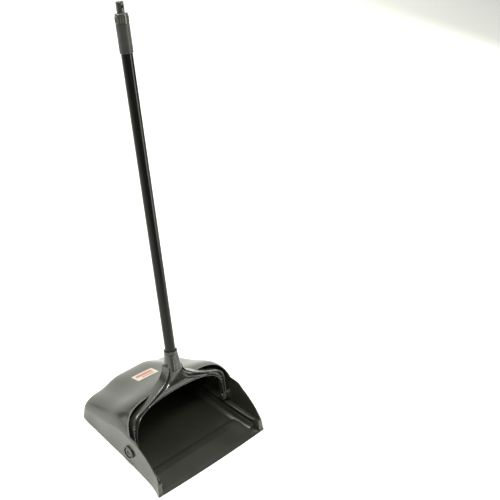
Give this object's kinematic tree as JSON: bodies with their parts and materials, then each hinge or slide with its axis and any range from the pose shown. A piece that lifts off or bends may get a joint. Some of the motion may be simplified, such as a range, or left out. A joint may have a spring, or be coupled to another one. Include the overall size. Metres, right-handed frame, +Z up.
{
  "type": "upright lobby dust pan",
  "caption": "Upright hooded dust pan with a long vinyl-coated handle on a swinging wishbone yoke and small rear wheels.",
  "frame": {"origin": "on the ground, midway across the pan and midway between the lip and the handle's tip", "axes": "+X to the pan's right, -Y towards the mouth (lip), +Z up"},
  "size_m": [0.3248, 0.4032, 0.9411],
  "materials": {
    "black_polypropylene": "satin, lightly textured",
    "black_yoke_plastic": "satin, moulded",
    "black_vinyl": "glossy vinyl coat",
    "grip_vinyl": "satin",
    "tube_steel": "bright drawn",
    "pin_steel": "zinc plated",
    "wheel_plastic": "moulded",
    "label_film": "printed film, satin"
  },
  "bodies": {
    "pan": {"pan_body": "black_polypropylene", "label": "label_film", "wheel_axle_left": "pin_steel", "wheel_axle_right": "pin_steel"},
    "handle": {"yoke": "black_yoke_plastic", "pivot_pin_left": "black_yoke_plastic", "pivot_pin_right": "black_yoke_plastic", "handle_tube": "tube_steel", "tube_coating": "black_vinyl", "tube_plug": "black_yoke_plastic", "socket_rivet": "pin_steel", "grip_sleeve": "grip_vinyl", "hanger_cap": "black_yoke_plastic"},
    "wheel_left": {"rear_wheel_left": "wheel_plastic"},
    "wheel_right": {"rear_wheel_right": "wheel_plastic"}
  },
  "joints": [
    {"name": "handle_swing", "type": "hinge", "parent": "pan", "child": "handle", "pos_m": [0, -0.08503, 0.0401], "axis": [1, 0, 0], "range_deg": [0, 95]},
    {"name": "wheel_left_spin", "type": "hinge", "parent": "pan", "child": "wheel_left", "pos_m": [-0.092, 0.07807, 0.015], "axis": [1, 0, 0], "continuous": true},
    {"name": "wheel_right_spin", "type": "hinge", "parent": "pan", "child": "wheel_right", "pos_m": [0.092, 0.07807, 0.015], "axis": [1, 0, 0], "continuous": true}
  ]
}
